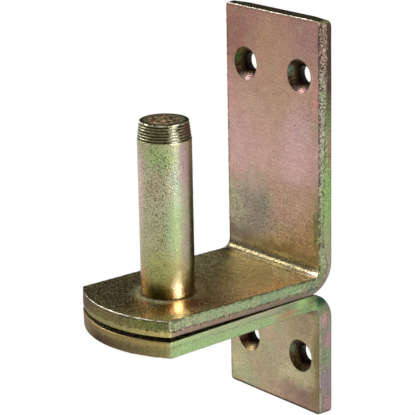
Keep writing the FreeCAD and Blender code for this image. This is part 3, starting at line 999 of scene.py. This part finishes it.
# Film colours along each strip, from its nose to its plate's end, and patches of colour on it
UPPER_FILM = shades(
    (0.0, 196, 180, 116), (0.2, 200, 180, 116), (0.4, 200, 180, 108), (0.44, 178, 166, 122),
    (0.465, 170, 160, 128), (0.51, 130, 108, 72), (0.58, 180, 148, 116), (0.68, 190, 154, 140),
    (0.85, 178, 144, 124), (1.0, 160, 118, 106),
)
UPPER_PATCHES = laid(
    upper_strip.on_plate,
    ((68, -18), (16, 14), (144, 98, 86), 0.7),
    ((62, 0), (20, 12), (170, 130, 110), 0.7),
    ((71, 15), (9, 8), (156, 118, 114), 0.6),
    ((68.5, -2), (8, 7), (174, 140, 104), 0.5),
    ((52, 2), (8, 9), (176, 150, 116), 0.4),
    ((54, 19.5), (9, 5), (208, 144, 142), 0.7),
    ((38, 12), (16, 12), (202, 164, 164), 0.7),
    ((46, -20.5), (16, 4), (198, 146, 138), 0.6),
    ((34, -15), (14, 9), (199, 157, 153), 0.7),
    ((13, 0), (13, 40), (206, 168, 148), 0.7),
    ((15, -10), (17, 13), (170, 161, 142), 0.85),
    ((16, -19.5), (10, 5), (176, 184, 146), 0.8),
    ((15, -7), (10, 9), (126, 120, 102), 0.65),
    ((7, -14), (6, 13), (112, 98, 78), 0.75),
    ((16.5, -20), (6, 3), (176, 164, 112), 0.6),
    ((13.3, -16.5), (6, 4), (158, 166, 126), 0.6),
    ((10, 13), (8, 10), (178, 152, 126), 0.8),
    ((15, 20.5), (14, 3.2), (122, 130, 84), 0.9),
    ((5, 0), (3.5, 40), (104, 88, 56), 0.8),
)
UPPER_PATCHES += laid(
    upper_strip.on_tongue,
    ((32, 12), (14, 14), (172, 152, 92), 0.75),
    ((26, -14), (17, 14), (224, 216, 156), 0.85),
    ((38, 0), (5, 40), (214, 202, 146), 0.7),
    ((-10, -12), (20, 18), (100, 86, 44), 0.8),
    ((-15, 3), (9, 12), (94, 74, 32), 0.75),
    # painted reflection of the pin's highlight stripe on the tongue in front of the pin
    ((-6, 13), (12, 4.6), (250, 194, 128), 0.95),
    ((5, 16.5), (8, 5), (150, 112, 74), 0.6),
    ((24, 19), (14, 5), (208, 152, 92), 0.6),
)
UPPER_PATCHES += laid(
    on_face,
    # painted highlight flaring at the right end of the inner bend
    ((5.4, 19.5), (3, 4), (250, 238, 206), 0.9),
)
LOWER_FILM = shades(
    (0.0, 130, 112, 66), (0.5, 134, 118, 74), (0.62, 126, 112, 74), (0.75, 188, 178, 140),
    (1.0, 164, 146, 114),
)
LOWER_PATCHES = laid(
    lower_strip.on_plate,
    ((-38, -18), (7, 8), (182, 180, 132), 0.8),
    ((-41, -13), (4.5, 7), (156, 180, 132), 0.5),
    ((-36, 8), (6, 9), (200, 190, 148), 0.75),
    ((-43, 4), (4, 9), (176, 142, 124), 0.5),
    ((-42.5, 14), (9, 13), (128, 100, 88), 0.85),
    ((-16, 14), (5, 6), (146, 118, 104), 0.7),
    ((-20, 12), (7, 10), (156, 134, 96), 0.6),
    ((-28, 20.3), (26, 4.4), (120, 102, 50), 0.85),
)
BACK_FILM = shades(
    (0.0, 130, 106, 62), (0.35, 168, 150, 98), (0.6, 178, 146, 126), (1.0, 150, 140, 96),
)
UPPER_TORN = shades(
    (0.0, 116, 104, 66), (0.02, 108, 100, 60), (0.045, 96, 106, 54), (0.06, 160, 168, 130),
    (0.3, 138, 156, 114), (0.45, 144, 150, 110), (0.62, 158, 164, 132), (0.76, 174, 164, 148),
    (1.0, 132, 108, 96),
)
UPPER_CUT = shades(
    (0.0, 150, 144, 92), (0.02, 172, 160, 98), (0.045, 190, 176, 110), (0.06, 150, 128, 112),
    (0.38, 122, 110, 92), (0.47, 154, 134, 126), (0.58, 134, 158, 98), (0.74, 128, 152, 96),
    (0.88, 80, 60, 52),
)
LOWER_TORN = shades(
    (0.0, 96, 84, 58), (0.06, 138, 126, 82), (0.08, 156, 182, 126), (0.5, 152, 170, 124),
    (0.62, 112, 138, 88), (0.75, 140, 132, 116), (1.0, 138, 124, 110),
)
LOWER_CUT = shades(
    (0.0, 140, 122, 78), (0.06, 160, 144, 92), (0.08, 160, 180, 128), (0.45, 156, 154, 128),
    (0.6, 104, 118, 80), (0.75, 142, 132, 122), (1.0, 134, 120, 110),
)
UPPER_EDGE_PATCHES = laid(
    upper_strip.on_nose,
    ((-21, 2.6), (4.5, 4, 5), (108, 100, 114), 0.85),
    ((-15, 3), (6, 6, 4), (118, 98, 54), 0.85),
    ((-4, 3.4), (6, 7, 2), (132, 122, 70), 0.7),
    ((13, 3.4), (6, 8, 2), (120, 130, 68), 0.6),
)
UPPER_EDGE_PATCHES += laid(
    on_edge,
    ((62, 3.6), (7, 1.6), (150, 164, 126), 0.8),
    ((74, 3.6), (5, 1.8), (150, 120, 104), 0.7),
    ((1, 2.2), (2.6, 2.2), (98, 126, 102), 0.7),
    ((-6, 3.6), (5, 1.6), (132, 164, 116), 0.7),
    ((-16, 3.4), (6, 1.8), (138, 158, 128), 0.6),
    ((45, 1), (9, 1.8), (150, 108, 108), 0.7),
)
LOWER_EDGE_PATCHES = laid(
    lower_strip.on_nose,
    ((-21, 2.6), (4.5, 4, 5), (118, 106, 126), 0.85),
    ((-5, 4.4), (6, 11, 1.8), (80, 66, 36), 0.8),
    ((-14, 3), (6, 9, 3), (156, 138, 72), 0.75),
)
LOWER_EDGE_PATCHES += laid(
    on_edge,
    ((4, 1.2), (2.6, 2.8), (38, 68, 54), 0.95),
    ((10, 3), (3.4, 1.8), (190, 142, 146), 0.65),
    ((-9, 3.4), (6, 2), (166, 128, 98), 0.8),
    ((-3, 1.4), (4, 1.6), (160, 190, 120), 0.7),
    ((17, 1.6), (4, 2), (174, 130, 136), 0.6),
    ((22.5, 2.6), (5, 3), (126, 146, 108), 0.75),
    ((30, 2.6), (6, 3), (146, 132, 142), 0.7),
    ((38, 1.6), (4, 2.4), (170, 130, 138), 0.7),
)


def hole_patches(strip, height, lips, glints):
    """Colours in the left and the right screw hole: a brown patch high in the cone, a painted glint on the
    left flank, and the lower lip painted with the light and shade it shows.
    """
    along = strip.plate_along(height)
    rim = strip.way * 0.9 * SCREW_MOUTH
    patches = []
    for side, lip, glint in zip((-1, 1), lips, glints):
        across = side * SCREW_SPACING / 2
        flank = (along + strip.way * 0.3 * SCREW_MOUTH, across - 0.9 * SCREW_MOUTH, THICKNESS - 0.6)
        patches.append(((along + rim, across + 0.6, THICKNESS), (2.4, 3.6, 2.2), (126, 92, 64), 0.8))
        # painted glint on the left flank, then the lower lip painted with its light and shade
        patches.append((flank, (2.6, 2.2, 2.0), glint, 0.9))
        patches.append(((along - rim, across + 0.6, THICKNESS), (2.8, 4.6, 2.4), lip, 0.9))
    return patches


UPPER_HOLE_PATCHES = hole_patches(
    upper_strip,
    UPPER_SCREW_HEIGHT,
    ((160, 128, 124), (158, 124, 120)),
    ((84, 104, 56), (104, 114, 100)),
)
LOWER_HOLE_PATCHES = hole_patches(
    lower_strip,
    LOWER_SCREW_HEIGHT,
    ((150, 130, 92), (44, 34, 12)),
    ((120, 112, 78), (98, 108, 84)),
)

# The three pieces, with their materials in the order of the finish numbers
upper = make_bracket(
    "upper_bracket_skin",
    upper_strip,
    screw_holes(upper_strip, UPPER_SCREW_HEIGHT)
    + [spigot_hole(upper_strip, SPIGOT_RADIUS + 2 * FIT_CLEARANCE, 0.1)],
    (
        face_finish("upper_front", upper_strip, UPPER_FILM, UPPER_PATCHES, smut=0.8, halo=True),
        face_finish("upper_back", upper_strip, BACK_FILM),
        band_finish("upper_edge", upper_strip, UPPER_TORN, UPPER_CUT, UPPER_EDGE_PATCHES, DARK_PIT),
        hole_finish("upper_holes", UPPER_HOLE_PATCHES),
    ),
)
lower = make_bracket(
    "lower_bracket_skin",
    lower_strip,
    screw_holes(lower_strip, LOWER_SCREW_HEIGHT)
    + [spigot_hole(lower_strip, FLARE_AT_FACE, FLARE_HEIGHT - RIVET_EDGE)],
    (
        face_finish("lower_front", lower_strip, LOWER_FILM, LOWER_PATCHES, smut=0.3),
        face_finish("lower_back", lower_strip, BACK_FILM),
        band_finish("lower_edge", lower_strip, LOWER_TORN, LOWER_CUT, LOWER_EDGE_PATCHES, PALE_RIM, 0.0),
        hole_finish("lower_holes", LOWER_HOLE_PATCHES),
    ),
)
pin = make_pin("hinge_pin_skin", (pin_finish("pin"),))

for piece, node, slot in (
    (upper, "upper_bracket", "bracket_steel"),
    (lower, "lower_bracket", "bracket_steel"),
    (pin, "hinge_pin", "pin_steel"),
):
    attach(piece, "root")
    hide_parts(node)


# Floor, world and lamps, in metres, degrees and watts
FLOOR_HALF = 6.0
FLOOR_GREY = (0.86, 0.86, 0.86, 1.0)
FLOOR_GLOW = 1.015
FLOOR_GLOW_SHARE = 0.965
WHITE = (1.0, 1.0, 1.0, 1.0)
ROOM_LEVELS = ((0.0, 1.0), (0.08, 0.95), (0.25, 0.5), (0.6, 0.4), (1.0, 0.5))
DARK_WALL_WAY = (-0.760, 0.615, 0.210)
LAMP_DISTANCE = 1.4
LAMP_AIM = (0.0, 0.01, 0.02)


def make_floor():
    """A wide white floor that shows white to the camera and to the metal, and keeps the shadow."""
    mesh = bpy.data.meshes.new("floor")
    height = (FLOOR_HEIGHT - FLOOR_GAP) * MM
    signs = ((-1, -1), (1, -1), (1, 1), (-1, 1))
    mesh.from_pydata([(x * FLOOR_HALF, y * FLOOR_HALF, height) for x, y in signs], [], [(0, 1, 2, 3)])
    material = bpy.data.materials.new("floor_white")
    material.use_nodes = True
    made = Nodes(material.node_tree)
    made.tree.nodes.clear()
    path = made.node("ShaderNodeLightPath", {}).outputs
    seen = made.math("MAXIMUM", path["Is Camera Ray"], path["Is Glossy Ray"])
    matt = made.node("ShaderNodeBsdfDiffuse", {"Color": FLOOR_GREY})
    white = made.node("ShaderNodeEmission", {"Strength": FLOOR_GLOW})
    surface = made.mixed_shader(made.product(seen, FLOOR_GLOW_SHARE), matt, white)
    made.node("ShaderNodeOutputMaterial", {"Surface": surface})
    mesh.materials.append(material)
    floor = add_object("floor", mesh)


def make_world():
    """A pale horizon that falls to a grey room higher up, with a dark wall to the left behind the object."""
    scene.world = bpy.data.worlds.new("room")
    scene.world.use_nodes = True
    made = Nodes(scene.world.node_tree)
    made.tree.nodes.clear()
    way = made.node("ShaderNodeTexCoord", {}).outputs["Generated"]
    stops = [(height, (level, level, level, 1.0)) for height, level in ROOM_LEVELS]
    towards_wall = made.vector("DOT_PRODUCT", way, DARK_WALL_WAY, "Value")
    shade = made.span(towards_wall, 0.8, 0.92, 1.0, 0.02)
    level = made.ramp(made.parts(way)[2], stops)
    room = made.node("ShaderNodeBackground", {"Color": level, "Strength": shade})
    white = made.node("ShaderNodeBackground", {"Color": WHITE})
    seen = made.node("ShaderNodeLightPath", {}).outputs["Is Camera Ray"]
    made.node("ShaderNodeOutputWorld", {"Surface": made.mixed_shader(seen, room, white)})


def way_to(azimuth, elevation):
    """The way from the object to a place at these angles in degrees."""
    turn = math.radians(azimuth)
    rise = math.radians(elevation)
    return Vector((math.sin(turn) * math.cos(rise), -math.cos(turn) * math.cos(rise), math.sin(rise)))


def add_lamp(name, azimuth, elevation, size, power):
    """A soft rectangular lamp that looks at the object."""
    lamp = bpy.data.lights.new(name, "AREA")
    lamp.shape = "RECTANGLE"
    lamp.size, lamp.size_y = size
    lamp.energy = power
    holder = add_object(name, lamp)
    back = way_to(azimuth, elevation)
    holder.location = Vector(LAMP_AIM) + back * LAMP_DISTANCE
    holder.rotation_euler = (-back).to_track_quat("-Z", "Y").to_euler()
    holder.visible_camera = False


make_floor()
make_world()
add_lamp("left_box", azimuth=-66.0, elevation=32.0, size=(0.4, 0.4), power=10.0)
add_lamp("right_box", azimuth=95.0, elevation=12.0, size=(0.22, 0.9), power=15.0)

# Camera where the photograph was taken from, in degrees and millimetres
CAMERA_AZIMUTH = 50.639
CAMERA_ELEVATION = 16.944
CAMERA_ROLL = -1.066
CAMERA_DISTANCE = 605.733
CAMERA_AIM = (1.931, 14.038, 23.455)
LENS_LENGTH = 177.61
SENSOR_WIDTH = 36.0


def make_camera():
    """The camera, turned a little about its own view."""
    turn = math.radians(CAMERA_AZIMUTH)
    roll = math.radians(CAMERA_ROLL)
    back = way_to(CAMERA_AZIMUTH, CAMERA_ELEVATION)
    level = Vector((math.cos(turn), math.sin(turn), 0.0))
    rising = back.cross(level)
    right = level * math.cos(roll) + rising * math.sin(roll)
    up = rising * math.cos(roll) - level * math.sin(roll)
    lens = bpy.data.cameras.new("camera")
    lens.sensor_width = SENSOR_WIDTH
    lens.lens = LENS_LENGTH
    scene.camera = add_object("camera", lens)
    place = Vector(CAMERA_AIM) * MM + back * CAMERA_DISTANCE * MM
    scene.camera.matrix_world = Matrix.Translation(place) @ Matrix((right, up, back)).transposed().to_4x4()


make_camera()
scene.view_settings.view_transform = "Standard"
